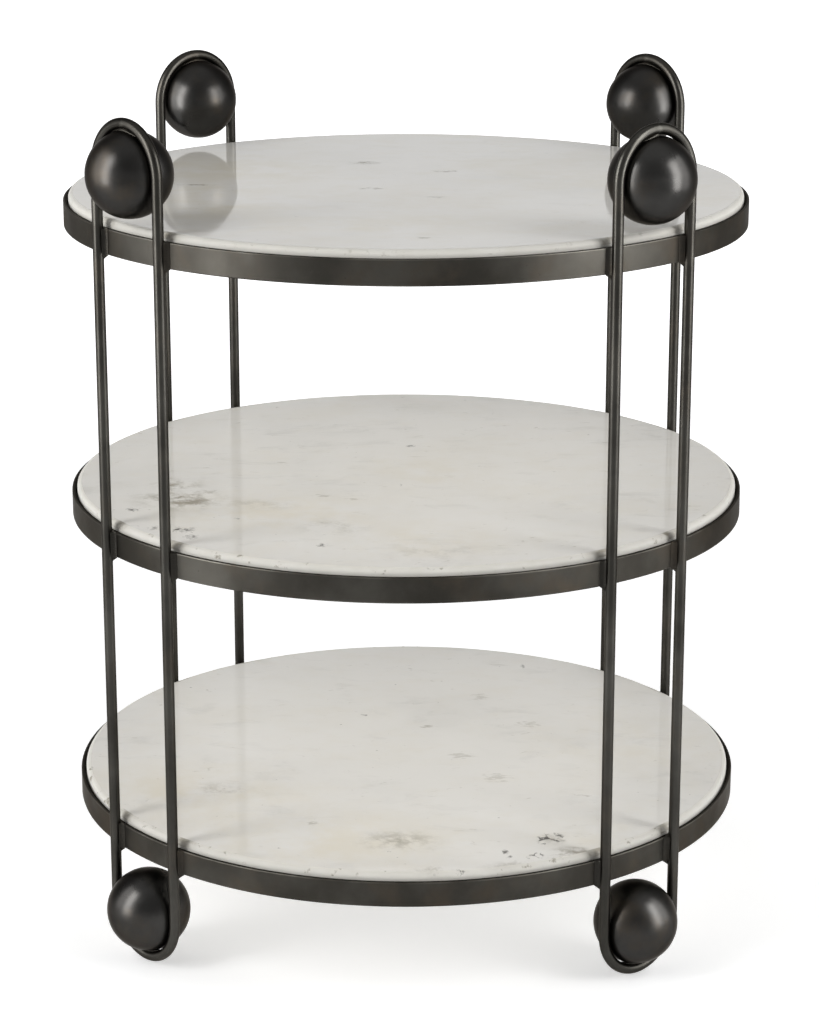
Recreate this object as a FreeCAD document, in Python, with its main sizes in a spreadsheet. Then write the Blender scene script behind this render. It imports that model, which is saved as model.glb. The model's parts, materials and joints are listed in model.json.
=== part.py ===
"""Tiered side table: three stone discs in flat-bar rings, carried by four tall rod loops with balls in their ends.

Frame: millimetres, +Z up, origin on the floor under the table's axis. The loops stand at +Y (back), -X (left),
-Y (front) and +X (right), each in a plane that touches the rings. Every driving size is a cell of the sheet, and
the heights of rings, slabs and balls add up from the floor.
"""
import FreeCAD
import Part
import Sketcher
import os

SIZES = (
    ("ring_outer_diameter", 520, "outside of each flat-bar ring"),
    ("band_height", 19, "width of the flat bar, stood on edge"),
    ("band_thickness", 3, "thickness of the flat bar"),
    ("band_edge_chamfer", 0.5, "eased arris of the flat bar"),
    ("lower_tier_pitch", 230, "bottom ring to middle ring"),
    ("upper_tier_pitch", 226, "middle ring to top ring"),
    ("rod_diameter", 8, "round rod of the loops"),
    ("loop_spacing", 72, "centre line to centre line of a loop's two uprights"),
    ("ball_clearance", 0.5, "gap between a ball's outline and the rod bent round it"),
    ("ball_inset", 3, "plane of a loop to the centres of its balls, towards the table's axis"),
    ("lower_ball_gap", 8.5, "crown of a lower ball to the bottom ring's lower edge"),
    ("upper_ball_gap", 6, "top slab's face to the underside of an upper ball"),
    ("stud_diameter", 5, "stud that holds a ball to the crown of its loop"),
    ("stud_depth", 12, "length of the stud inside the ball"),
    ("stud_clearance", 0.05, "gap round the stud in its socket"),
    ("weld_root_gap", 0.2, "gap between ring and rod that the weld fills"),
    ("weld_leg", 3, "reach of a weld bead along the ring, past the rod"),
    ("weld_end_inset", 1.5, "band edge to the end of a weld bead"),
    ("weld_end_taper", 2, "run-out of a weld bead towards its ends"),
    ("slab_thickness", 20, "stone disc"),
    ("slab_clearance", 2, "gap between a slab and the ring round it"),
    ("slab_top_radius", 4, "rounded upper edge of a slab"),
    ("slab_bottom_chamfer", 1, "eased lower edge of a slab"),
    ("tab_thickness", 3, "support tab inside a ring"),
    ("tab_reach", 22, "support tab, from the ring inwards"),
    ("tab_width", 32, "support tab where it meets the ring"),
    ("tab_nose_width", 22, "support tab at its inner end"),
    ("pad_diameter", 12, "bumper pad between tab and slab"),
    ("pad_thickness", 1.5, "bumper pad"),
)

# Half width of a weld bead level with the rod's axis, as a share of the rod's radius.
BEAD_CROWN_SHARE = 0.8

# The loops stand evenly round the table, in this order from +Y towards -X.
SIDES = ("back", "left", "front", "right")
FULL_TURN = FreeCAD.Units.Quantity("360 deg")

# Sizes that follow from the driving ones, as expressions for the document.
RING_RADIUS = "Sizes.ring_outer_diameter / 2"
BAND_INNER_RADIUS = f"({RING_RADIUS} - Sizes.band_thickness)"
SLAB_RADIUS = f"({BAND_INNER_RADIUS} - Sizes.slab_clearance)"
ROD_RADIUS = "Sizes.rod_diameter / 2"
ROD_AXIS_RADIUS = f"({RING_RADIUS} + Sizes.weld_root_gap + {ROD_RADIUS})"
HALF_SPACING = "Sizes.loop_spacing / 2"
LOOP_PLANE = f"sqrt({ROD_AXIS_RADIUS}^2 - ({HALF_SPACING})^2)"
BALL_RADIUS = f"({HALF_SPACING} - {ROD_RADIUS} - Sizes.ball_clearance)"
BALL_PLANE = f"({LOOP_PLANE} - Sizes.ball_inset)"
SOCKET_FLOOR = f"({BALL_RADIUS} - Sizes.stud_depth)"

# Angles from straight up to the line from a ball's centre to the crown of its loop.
STUD_LEAN = {"upper": f"atan(Sizes.ball_inset / ({HALF_SPACING}))"}
STUD_LEAN["lower"] = f"({(FULL_TURN / 2).Value} deg - {STUD_LEAN['upper']})"

# Heights above the floor.
LOWER_CENTRE = f"({HALF_SPACING} + {ROD_RADIUS})"
SLAB_SEAT = "(Sizes.tab_thickness + Sizes.pad_thickness)"
BAND_FOOT = {"bottom": f"({LOWER_CENTRE} + {BALL_RADIUS} + Sizes.lower_ball_gap)"}
BAND_FOOT["middle"] = f"({BAND_FOOT['bottom']} + Sizes.lower_tier_pitch)"
BAND_FOOT["top"] = f"({BAND_FOOT['middle']} + Sizes.upper_tier_pitch)"
TABLE_TOP = f"({BAND_FOOT['top']} + {SLAB_SEAT} + Sizes.slab_thickness)"
UPPER_CENTRE = f"({TABLE_TOP} + Sizes.upper_ball_gap + {BALL_RADIUS})"
BALL_CENTRE = {"upper": UPPER_CENTRE, "lower": LOWER_CENTRE}


def bind(item, expressions):
    """Tie properties of a document object to sheet expressions."""
    for name, expression in expressions.items():
        item.setExpression(name, expression)


def turn_of(side):
    """Angle from +Y to a side, as an expression."""
    return f"({(FULL_TURN * SIDES.index(side) / len(SIDES)).Value} deg)"


def set_out(item, side, radius, height):
    """Stand an object at a side of the table: that far from its axis, and that far above the object's frame."""
    bind(item, {
        "Placement.Base.x": f"-sin({turn_of(side)}) * {radius}",
        "Placement.Base.y": f"cos({turn_of(side)}) * {radius}",
        "Placement.Base.z": height,
    })


def make_sheet(doc):
    """The sheet of driving sizes: name, value and meaning in each row."""
    sheet = doc.addObject("Spreadsheet::Sheet", "Sizes")
    for row, (alias, value, meaning) in enumerate(SIZES, start=1):
        sheet.set(f"A{row}", alias)
        sheet.set(f"B{row}", str(value))
        sheet.set(f"C{row}", meaning)
        sheet.setAlias(f"B{row}", alias)
    doc.recompute()


def make_sketch(body, plane):
    """An empty sketch on one of the body's own origin planes."""
    sketch = body.newObject("Sketcher::SketchObject", body.Name + "_sketch")
    support = next(item for item in body.Origin.OriginFeatures if item.Role == plane)
    sketch.AttachmentSupport = [(support, "")]
    sketch.MapMode = "FlatFace"
    return sketch


def add_size(sketch, name, expression, *reference):
    """A named dimension of a sketch, driven by an expression."""
    index = sketch.addConstraint(Sketcher.Constraint(*reference))
    sketch.renameConstraint(index, name)
    sketch.setExpression("Constraints." + name, expression)


def add_circle(sketch, name, radius):
    """A circle round the sketch's origin."""
    up = FreeCAD.Vector(0, 0, 1)
    circle = sketch.addGeometry(Part.Circle(FreeCAD.Vector(), up, 1))
    sketch.addConstraint(Sketcher.Constraint("Coincident", circle, 3, -1, 1))
    add_size(sketch, name, radius, "Radius", circle, 1)


def make_pad(body, sketch, length):
    """The sketch raised by a length."""
    pad = body.newObject("PartDesign::Pad", body.Name + "_pad")
    pad.Profile = sketch
    pad.setExpression("Length", length)
    body.Document.recompute()
    return pad


def round_edges(feature, chosen):
    """Names of a feature's full-circle edges that pass a test."""
    edges = enumerate(feature.Shape.Edges, start=1)
    return [f"Edge{number}" for number, edge in edges if edge.Closed and chosen(edge)]


def make_ring(doc, tier):
    """Flat bar rolled on edge into a hoop, with eased arrises."""
    body = doc.addObject("PartDesign::Body", tier + "_ring")
    sketch = make_sketch(body, "XY_Plane")
    add_circle(sketch, "outside", RING_RADIUS)
    add_circle(sketch, "inside", BAND_INNER_RADIUS)
    band = make_pad(body, sketch, "Sizes.band_height")
    arris = body.newObject("PartDesign::Chamfer", tier + "_ring_arris")
    arris.Base = (band, round_edges(band, lambda edge: True))
    arris.setExpression("Size", "Sizes.band_edge_chamfer")
    body.setExpression("Placement.Base.z", BAND_FOOT[tier])
    return body


def make_slab(doc, tier):
    """Stone disc with a rounded upper edge, standing a little proud of its ring."""
    body = doc.addObject("PartDesign::Body", tier + "_slab")
    sketch = make_sketch(body, "XY_Plane")
    add_circle(sketch, "outside", SLAB_RADIUS)
    disc = make_pad(body, sketch, "Sizes.slab_thickness")
    edge = body.newObject("PartDesign::Fillet", tier + "_slab_edge")
    edge.Base = (disc, round_edges(disc, lambda ring: ring.CenterOfMass.z > 0))
    edge.setExpression("Radius", "Sizes.slab_top_radius")
    doc.recompute()
    arris = body.newObject("PartDesign::Chamfer", tier + "_slab_arris")
    arris.Base = (edge, round_edges(edge, lambda ring: ring.CenterOfMass.z <= 0))
    arris.setExpression("Size", "Sizes.slab_bottom_chamfer")
    body.setExpression("Placement.Base.z", f"{BAND_FOOT[tier]} + {SLAB_SEAT}")
    return body


def add_stadium(sketch):
    """Centre line of a loop: two uprights joined by half circles, the lower one round the sketch's origin."""
    up = FreeCAD.Vector(0, 0, 1)
    full_turn = FULL_TURN.getValueAs("rad").Value
    right = Part.LineSegment(FreeCAD.Vector(1, 0, 0), FreeCAD.Vector(1, 1, 0))
    over = Part.ArcOfCircle(Part.Circle(FreeCAD.Vector(0, 1, 0), up, 1), 0, full_turn / 2)
    left = Part.LineSegment(FreeCAD.Vector(-1, 1, 0), FreeCAD.Vector(-1, 0, 0))
    under = Part.ArcOfCircle(Part.Circle(FreeCAD.Vector(), up, 1), full_turn / 2, full_turn)
    stretches = sketch.addGeometry([right, over, left, under])
    for index, stretch in enumerate(stretches):
        following = stretches[(index + 1) % len(stretches)]
        sketch.addConstraint(Sketcher.Constraint("Tangent", stretch, 2, following, 1))
    upright, upper, _, lower = stretches
    sketch.addConstraint(Sketcher.Constraint("Coincident", lower, 3, -1, 1))
    sketch.addConstraint(Sketcher.Constraint("PointOnObject", upper, 3, -2))
    sketch.addConstraint(Sketcher.Constraint("Vertical", upright))
    add_size(sketch, "bend", HALF_SPACING, "Radius", lower, 1)
    add_size(sketch, "upright", f"{UPPER_CENTRE} - {LOWER_CENTRE}", "DistanceY", lower, 3, upper, 3, 1)


def make_loop(doc, side):
    """Round rod bent into a tall closed loop, its plane touching the rings."""
    body = doc.addObject("PartDesign::Body", side + "_loop")
    line = make_sketch(body, "XZ_Plane")
    add_stadium(line)
    section = make_sketch(body, "XY_Plane")
    circle = section.addGeometry(Part.Circle(FreeCAD.Vector(1, 0, 0), FreeCAD.Vector(0, 0, 1), 1))
    section.addConstraint(Sketcher.Constraint("PointOnObject", circle, 3, -1))
    add_size(section, "place", HALF_SPACING, "DistanceX", -1, 1, circle, 3, 1)
    add_size(section, "rod", ROD_RADIUS, "Radius", circle, 1)
    doc.recompute()
    rod = body.newObject("PartDesign::AdditivePipe", side + "_loop_rod")
    rod.Profile = section
    rod.Spine = (line, [])
    body.setExpression("Placement.Rotation.Angle", turn_of(side))
    set_out(body, side, LOOP_PLANE, LOWER_CENTRE)
    return body


def lean_to_crown(item, side, level):
    """Tip an upright piece outwards until it points from a ball's centre to the crown of the loop round it."""
    turn = FULL_TURN.Value * SIDES.index(side) / len(SIDES)
    hinge = FreeCAD.Rotation(FreeCAD.Vector(0, 0, 1), turn).multVec(FreeCAD.Vector(-1, 0, 0))
    item.Placement.Rotation = FreeCAD.Rotation(hinge, 1)
    item.setExpression("Placement.Rotation.Angle", STUD_LEAN[level])


def make_ball(doc, side, level):
    """Ball with a blind socket for its stud, facing the crown of the loop round it."""
    name = f"{side}_{level}_ball"
    sphere = doc.addObject("Part::Sphere", name + "_sphere")
    sphere.setExpression("Radius", BALL_RADIUS)
    socket = doc.addObject("Part::Cylinder", name + "_socket")
    bind(socket, {
        "Radius": "Sizes.stud_diameter / 2 + Sizes.stud_clearance",
        "Height": BALL_RADIUS,
        "Placement.Base.z": SOCKET_FLOOR,
    })
    ball = make_cut(doc, name, sphere, socket)
    lean_to_crown(ball, side, level)
    set_out(ball, side, BALL_PLANE, BALL_CENTRE[level])
    return ball


def make_group(doc, name, pieces):
    """Like pieces held as one object."""
    group = doc.addObject("Part::Compound", name)
    group.Links = pieces
    return group


def make_cut(doc, name, base, tool):
    """What is left of the base outside the tool."""
    cut = doc.addObject("Part::Cut", name)
    cut.Base = base
    cut.Tool = tool
    return cut


def make_studs(doc, level, loops):
    """Studs from the balls' sockets to the loops' crowns, each coped to the rod that it meets."""
    foot_radius = f"({BALL_PLANE} + {SOCKET_FLOOR} * sin({STUD_LEAN[level]}))"
    foot_height = f"{BALL_CENTRE[level]} + {SOCKET_FLOOR} * cos({STUD_LEAN[level]})"
    studs = []
    for side in SIDES:
        stud = doc.addObject("Part::Cylinder", f"{side}_{level}_stud")
        bind(stud, {
            "Radius": "Sizes.stud_diameter / 2",
            "Height": f"sqrt(({HALF_SPACING})^2 + Sizes.ball_inset^2) - {SOCKET_FLOOR}",
        })
        lean_to_crown(stud, side, level)
        set_out(stud, side, foot_radius, foot_height)
        studs.append(stud)
    blanks = make_group(doc, level + "_stud_blanks", studs)
    return make_cut(doc, level + "_ball_studs", blanks, loops)


def make_wedge(doc, name, turn, near, far):
    """Block that tapers outwards: its near and far ends are (distance, half width, foot, head) expressions."""
    wedge = doc.addObject("Part::Wedge", name)
    bind(wedge, {
        "Ymin": near[0], "Xmin": "-" + near[1], "Xmax": near[1], "Zmin": near[2], "Zmax": near[3],
        "Ymax": far[0], "X2min": "-" + far[1], "X2max": far[1], "Z2min": far[2], "Z2max": far[3],
        "Placement.Rotation.Angle": turn,
    })
    return wedge


def make_welds(doc, tier, ring, loops):
    """Fillet beads on both flanks of every upright where it passes the ring."""
    inset = "Sizes.weld_end_inset"
    runout = f"({inset} + Sizes.weld_end_taper)"
    near = (f"{RING_RADIUS} - Sizes.band_thickness / 2", f"({ROD_RADIUS} + Sizes.weld_leg)",
            inset, f"Sizes.band_height - {inset}")
    crown = f"({BEAD_CROWN_SHARE} * {ROD_RADIUS})"
    far = (ROD_AXIS_RADIUS, crown, runout, f"Sizes.band_height - {runout}")
    blocks = []
    for side in SIDES:
        for flank, way in (("first", 1), ("second", -1)):
            angle = f"{turn_of(side)} + {way} * asin({HALF_SPACING} / {ROD_AXIS_RADIUS})"
            block = make_wedge(doc, f"{tier}_{side}_{flank}_bead", angle, near, far)
            block.setExpression("Placement.Base.z", BAND_FOOT[tier])
            blocks.append(block)
    beads = make_group(doc, tier + "_bead_blanks", blocks)
    seated = make_cut(doc, tier + "_beads_on_ring", beads, ring)
    return make_cut(doc, tier + "_ring_welds", seated, loops)


def make_tabs(doc, tier):
    """Flat tabs inside a ring, flush with its lower edge, that carry the slab."""
    near = (f"{BAND_INNER_RADIUS} - Sizes.tab_reach", "(Sizes.tab_nose_width / 2)", "0", "Sizes.tab_thickness")
    far = (RING_RADIUS, "(Sizes.tab_width / 2)", "0", "Sizes.tab_thickness")
    blanks = [make_wedge(doc, f"{tier}_{side}_tab", turn_of(side), near, far) for side in SIDES]
    inside = doc.addObject("Part::Cylinder", tier + "_ring_inside")
    bind(inside, {"Radius": BAND_INNER_RADIUS, "Height": "Sizes.tab_thickness"})
    tabs = doc.addObject("Part::Common", tier + "_shelf_tabs")
    tabs.Base = make_group(doc, tier + "_tab_blanks", blanks)
    tabs.Tool = inside
    tabs.setExpression("Placement.Base.z", BAND_FOOT[tier])
    return tabs


def make_pads(doc, tier):
    """Round bumper pads on the tabs, under the slab."""
    radius = f"({BAND_INNER_RADIUS} - Sizes.tab_reach / 2)"
    pads = []
    for side in SIDES:
        pad = doc.addObject("Part::Cylinder", f"{tier}_{side}_pad")
        bind(pad, {"Radius": "Sizes.pad_diameter / 2", "Height": "Sizes.pad_thickness"})
        set_out(pad, side, radius, f"{BAND_FOOT[tier]} + Sizes.tab_thickness")
        pads.append(pad)
    return make_group(doc, tier + "_shelf_pads", pads)


def check(doc, parts):
    """Stop on any failed object or bad shape."""
    for item in doc.Objects:
        if {"Invalid", "Error"} & set(item.State):
            raise RuntimeError(f"{item.Name} failed: {item.State}")
    for part, solids in parts:
        shape = part.Shape
        if shape.isNull() or not shape.isValid() or len(shape.Solids) != solids:
            raise RuntimeError(f"{part.Label} isn't {solids} sound solid(s)")


def main():
    doc = FreeCAD.newDocument("tiered_side_table")
    make_sheet(doc)
    loops = [make_loop(doc, side) for side in SIDES]
    doc.recompute()
    all_loops = make_group(doc, "all_loops", loops)
    parts = [(loop, 1) for loop in loops]
    for level in BALL_CENTRE:
        parts += [(make_ball(doc, side, level), 1) for side in SIDES]
        parts.append((make_studs(doc, level, all_loops), len(SIDES)))
    for tier in BAND_FOOT:
        ring = make_ring(doc, tier)
        parts.append((ring, 1))
        parts.append((make_welds(doc, tier, ring, all_loops), 2 * len(SIDES)))
        parts.append((make_tabs(doc, tier), len(SIDES)))
        parts.append((make_pads(doc, tier), len(SIDES)))
        parts.append((make_slab(doc, tier), 1))
    doc.recompute()
    check(doc, parts)
    os.makedirs("parts", exist_ok=True)
    for part, _ in parts:
        part.Shape.exportStep(f"parts/{part.Label}.step")


main()
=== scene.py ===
"""Looks of the tiered side table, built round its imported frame.

Polished stone slabs lie in dark metal rings, and tall rod loops carry the rings and hold a ball in each end.
Places and main sizes come from the frame. What its boxes can't say, such as edges and colours, is a property.
"""
import json
import math

import bpy
import numpy as np
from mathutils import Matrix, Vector

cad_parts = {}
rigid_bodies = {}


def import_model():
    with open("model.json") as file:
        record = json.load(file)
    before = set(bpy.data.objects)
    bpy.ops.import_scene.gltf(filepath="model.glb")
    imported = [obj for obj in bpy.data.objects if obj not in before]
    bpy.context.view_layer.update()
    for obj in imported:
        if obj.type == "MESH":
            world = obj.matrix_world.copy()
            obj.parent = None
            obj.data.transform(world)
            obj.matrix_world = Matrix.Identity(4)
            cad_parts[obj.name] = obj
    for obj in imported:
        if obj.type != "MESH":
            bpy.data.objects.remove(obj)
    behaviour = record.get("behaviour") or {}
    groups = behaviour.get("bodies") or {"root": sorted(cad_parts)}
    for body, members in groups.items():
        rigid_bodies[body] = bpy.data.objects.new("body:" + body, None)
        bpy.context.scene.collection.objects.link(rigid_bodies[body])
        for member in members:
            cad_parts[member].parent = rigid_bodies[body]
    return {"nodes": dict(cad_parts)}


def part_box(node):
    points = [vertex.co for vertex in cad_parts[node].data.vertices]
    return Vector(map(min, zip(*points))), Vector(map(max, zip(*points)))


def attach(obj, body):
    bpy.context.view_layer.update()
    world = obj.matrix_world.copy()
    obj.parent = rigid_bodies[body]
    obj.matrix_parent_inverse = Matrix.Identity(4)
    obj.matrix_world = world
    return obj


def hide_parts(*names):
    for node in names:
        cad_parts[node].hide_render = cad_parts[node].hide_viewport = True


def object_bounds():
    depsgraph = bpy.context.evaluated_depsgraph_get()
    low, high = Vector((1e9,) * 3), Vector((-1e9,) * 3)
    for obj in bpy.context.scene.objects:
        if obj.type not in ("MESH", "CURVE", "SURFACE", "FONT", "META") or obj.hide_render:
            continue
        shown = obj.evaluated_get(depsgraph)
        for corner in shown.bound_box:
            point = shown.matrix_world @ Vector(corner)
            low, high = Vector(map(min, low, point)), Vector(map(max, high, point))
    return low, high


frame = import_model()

CAD_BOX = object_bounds()

bl_info = {
    "name": "Tiered side table",
    "version": (1, 0, 0),
    "blender": (4, 5, 0),
    "location": "View3D > Sidebar > Side table",
    "description": "Stone slabs, metal rings, rod loops and balls of a tiered side table, in a plain studio",
    "category": "Add Mesh",
}

TIERS = ("bottom", "middle", "top")
# The loops stand evenly round the table, in this order from +X towards +Y.
SIDES = ("right", "back", "left", "front")
LEVELS = ("upper", "lower")
FRAME_BODY = "frame"

# How finely each surface is divided.
RING_STEPS = 480
ARRIS_STEPS = 4
SLAB_STEPS = 720
SLAB_EDGE_STEPS = 9
UPRIGHT_STEPS = 60
BEND_STEPS = 72
ROD_STEPS = 32
BALL_RINGS = 64
BALL_STEPS = 96
STUD_STEPS = 32
BEAD_ROWS = 44

# Where support rows lie on a straight stretch, as shares of its length.
FACE_SHARES = (0.03, 0.2, 0.4, 0.6, 0.8, 0.97)
TOP_SHARES = (0.995, 0.98, 0.9, 0.7, 0.5, 0.3, 0.1, 0.02)
BOTTOM_SHARES = (0.02, 0.3, 0.6, 0.9, 0.995)

# Slow waves of hand-rolled and hand-ground work: (waves round the table, phase).
ROLLED_WAVES = ((2, 0.4), (3, 2.1), (5, 4.0), (9, 1.3))
GROUND_WAVES = ((4, 0.9), (7, 3.4), (13, 5.2), (29, 1.7))

# Larger chips in a slab's rounded edge: (angle in degrees, width, depth), in metres.
EDGE_CHIPS = {
    "bottom": ((-28, 0.005, 0.0007), (-33, 0.004, 0.0005), (-21, 0.006, 0.0006), (74, 0.005, 0.0006)),
    "middle": ((-62, 0.005, 0.0006), (-96, 0.006, 0.0007), (12, 0.005, 0.0005), (151, 0.006, 0.0006)),
    "top": ((-75, 0.006, 0.0005), (40, 0.005, 0.0005), (208, 0.006, 0.0006)),
}

# Tack weld of each ball: how far it runs beyond the stud along the rod, and its shift, in metres.
TACKS = {(level, side): (0.014, 0) for level in LEVELS for side in SIDES}
TACKS["upper", "right"] = (0.007, -0.006)

# Weld bead: angle on the rod where its section ends, how deep its back is sunk, and how it tapers.
BEAD_ROD_ANGLE = math.radians(78)
BEAD_SINK = 0.0012
BEAD_CURVE_STEPS = 9
BEAD_TAPER = 1.3
BEAD_TIP_SHARE = 0.02

# Painted shade on the hidden inside of a ring, and a loop's seam lightened as ground metal and a painted
# glint, where 1 is wholly.
RING_INSIDE_SHADE = 0.8
SEAM_WEAR_AND_GLINT = 0.6

# Least and greatest roughness of each metal finish.
GLOSS = {
    "band": (0.38, 0.48),
    "rod": (0.28, 0.36),
    "globe": (0.27, 0.35),
    "stud": (0.4, 0.5),
    "bead": (0.3, 0.45),
    "tab": (0.42, 0.52),
}

# How strong the grain of the balls is, where 1 is that of the other metal.
GLOBE_GRAIN = 0.3

# Each slab's place in the block of stone, its streaks' turn in degrees, and its share of other features.
STONE_BEDS = {
    "bottom": {"shift": (0.7, 3.1, 0.2), "turn": 46, "streaks": 0.8, "warmth": 0.30, "nicks": 0.9},
    "middle": {"shift": (5.3, 1.2, 1.9), "turn": 52, "streaks": 1.0, "warmth": 0.35, "nicks": 0.8},
    "top": {"shift": (2.6, 8.4, 3.3), "turn": 47, "streaks": 0.4, "warmth": 0.60, "nicks": 0.3},
}

# Millimetres in a metre.
MILLIMETRES = 1000

# Marks seen in the stone: (kind, x, y, half length, half width, turn in degrees, strength), in millimetres.
STONE_MARKS = {
    "bottom": (
        ("cloud", -35, -195, 120, 85, 40, 1),
        ("cloud", 110, -170, 140, 80, 48, 0.9),
        ("cloud", 110, 150, 110, 80, 30, 0.5),
        ("cloud", 225, -20, 60, 40, 48, 0.7),
        ("stain", 142, -133, 36, 24, 48, 0.6),
        ("stain", -26, -167, 28, 18, 40, 0.5),
        ("stain", 200, -150, 22, 10, 52, 0.6),
        ("stain", 230, -104, 24, 10, 66, 0.45),
        ("stain", 240, -56, 18, 12, 75, 0.9),
        ("smear", 246, -47, 17, 12, 75, 0.6),
        ("smear", 226, -110, 20, 8, 64, 0.12),
        ("stain", 215, -44, 12, 12, 48, 0.7),
        ("crack", 214, -46, 12, 14, 30, 1),
        ("crack", 230, -77, 7, 8, 10, 0.9),
        ("speck", 210, -88, 4, 5.5, 40, 1),
        ("speck", 219, -93, 3, 4.5, 20, 1),
        ("speck", 214, -136, 4.5, 4.5, 48, 1),
        ("speck", 206, -157, 5, 6, 48, 0.5),
        ("speck", 232, -124, 3.5, 5.5, 30, 1),
        ("speck", 240, -110, 3.5, 5.5, 30, 1),
        ("speck", -80, 25, 4.5, 4.5, 48, 0.9),
        ("speck", -82, 207, 3, 6, 48, 0.9),
        ("smear", 27, 112, 17, 14, 48, 0.32),
        ("smear", 42, 20, 16, 13, 48, 0.32),
        ("smear", 96, 10, 15, 16, 48, 0.3),
        ("smear", -49, 126, 12, 12, 48, 0.28),
        ("smear", -26, 45, 8, 6, 48, 0.55),
        ("smear", 73, -159, 6, 7, 48, 0.4),
    ),
    "middle": (
        ("stain", -52, -180, 42, 34, 40, 1),
        ("stain", -40, -184, 24, 20, 48, 0.8),
        ("stain", -85, -160, 24, 26, 40, 0.8),
        ("cloud", 20, -150, 110, 65, 48, 1),
        ("stain", -2, -145, 30, 20, 48, 0.4),
        ("stain", 80, -140, 34, 26, 48, 0.35),
        ("cloud", 150, -115, 80, 50, 48, 0.9),
        ("stain", 172, -128, 40, 30, 48, 0.3),
        ("cloud", 10, 10, 70, 80, 48, 0.6),
        ("cloud", 195, 70, 60, 30, 48, 0.5),
        ("smear", -48, -182, 17, 15, 40, 0.5),
        ("smear", -55, -151, 9, 9, 48, 0.5),
        ("smear", 9, -93, 11, 8, 48, 0.45),
        ("smear", 32, -82, 12, 4, 40, 0.5),
        ("smear", 128, -239, 12, 8, 40, 0.5),
        ("smear", 183, -204, 12, 7, 48, 0.6),
        ("speck", 8, -230, 6, 8.5, 48, 1),
        ("speck", 15, -226, 7, 9.5, 48, 1),
        ("speck", 31, -235, 7, 9, 48, 1),
        ("speck", -5, -241, 7, 7.5, 48, 0.7),
        ("speck", -55, -224, 7, 7.5, 48, 0.9),
        ("speck", 14, -181, 5, 3, 48, 1),
        ("speck", 110, -177, 5, 7, 20, 1),
        ("speck", -57, 55, 4.5, 8, 10, 0.9),
        ("speck", 26, -28, 2.5, 5, 48, 0.9),
    ),
    "top": (
        ("cloud", 60, 120, 130, 80, 48, 0.6),
        ("cloud", -90, -140, 100, 60, 48, 0.9),
        ("cloud", -150, -60, 120, 90, 48, 1),
        ("cloud", 100, -140, 160, 50, 48, 0.8),
        ("cloud", -20, -175, 80, 60, 48, 1),
        ("cloud", 130, -60, 120, 60, 48, 0.3),
        ("stain", -98, 45, 26, 12, 48, 0.3),
        ("smear", -100, 44, 14, 10, 48, 1),
        ("smear", -27, 65, 15, 8, 48, 0.9),
        ("smear", -7, -29, 13, 9, 48, 0.6),
        ("smear", 54, -16, 13, 8, 48, 0.45),
        ("smear", 166, -130, 9, 6, 48, 0.6),
        ("smear", -106, -118, 18, 5, 48, 0.8),
    ),
}

# The photograph's height in pixels, and the width of the camera's sensor in millimetres.
PHOTO_HEIGHT = 1024
SENSOR_WIDTH = 36

# Where the studio room changes, by how far a direction points along the camera's view (-1 to 1).
VIEW_BANDS = {"front": (-0.85, -0.35), "corner": (0.15, 0.4), "backdrop": (0.8, 0.93), "dusk": (-0.9, -0.1),
              "glow": (0.1, 0.6)}
# The same by how far a direction points up (-1 to 1).
RISE_BANDS = {"upper": (0.16, 0.28), "ceiling": (0.65, 0.95), "zenith": (0.35, 0.7)}

# The floor, in metres: half its width, its drop below the table, and where its added white changes.
FLOOR_HALF = 12
FLOOR_DROP = 0.0002
LIFT_BAND = (0.4, 2.5)
SHEEN_BAND = (0.4, 1.6)


def length(name, description, default):
    """A size property in metres."""
    return bpy.props.FloatProperty(name=name, description=description, default=default, min=0, unit="LENGTH",
                                   precision=4)


def colour(name, description, default):
    """A colour property."""
    return bpy.props.FloatVectorProperty(name=name, description=description, default=default, min=0, max=1,
                                         subtype="COLOR")


def amount(name, description, default):
    """A plain number property."""
    return bpy.props.FloatProperty(name=name, description=description, default=default, min=0)


def angle(name, description, degrees):
    """An angle property."""
    return bpy.props.FloatProperty(name=name, description=description, default=math.radians(degrees),
                                   subtype="ANGLE")


class SideTableSizes(bpy.types.PropertyGroup):
    """Sizes of the table that the frame's boxes don't give."""

    band_thickness: length("Band thickness", "Flat bar of a ring, from face to face", 0.003)
    band_arris: length("Band arris", "Rounding of the flat bar's edges", 0.0006)
    band_waver: length("Band waver", "How far a rolled ring strays from a true circle", 0.0002)
    slab_edge: length("Slab edge", "Radius of a slab's upper edge", 0.004)
    slab_arris: length("Slab arris", "Chamfer of a slab's lower edge", 0.001)
    slab_fit: length("Slab fit", "How far a slab reaches past its plan radius", 0.001)
    # Dark patches beside the uprights are painted shade: the rods' shadow and reflection on a slab's rounded
    # edge.
    slab_upright_shade: length("Slab scorch", "Reach of shadowed patches beside the uprights", 0.009)
    slab_waver: length("Slab waver", "How far a ground slab edge strays", 0.0004)
    seam_bulge: length("Seam bulge", "Height of the butt weld at a loop's crown", 0.0004)
    seam_width: length("Seam width", "Reach of the butt weld along the rod", 0.002)
    ball_dent: length("Ball dent", "Depth of the shallow dents left on a ball", 0.00008)
    stud_radius: length("Stud radius", "Stud between a ball and its loop", 0.0025)
    stud_flare: length("Stud flare", "How far a ball's tack weld swells beyond its stud", 0.001)
    weld_leg: length("Weld leg", "Reach of a bead along the ring, past the rod", 0.003)
    weld_tail: length("Weld tail", "How far a bead runs down the rod below the ring", 0.005)
    weld_head: length("Weld head", "How far a bead rises on the rod above the ring", 0.001)
    weld_ripple: length("Weld ripple", "Height of the ripples along a bead", 0.0001)
    ripple_pitch: length("Ripple pitch", "Spacing of the ripples along a bead", 0.0019)


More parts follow.
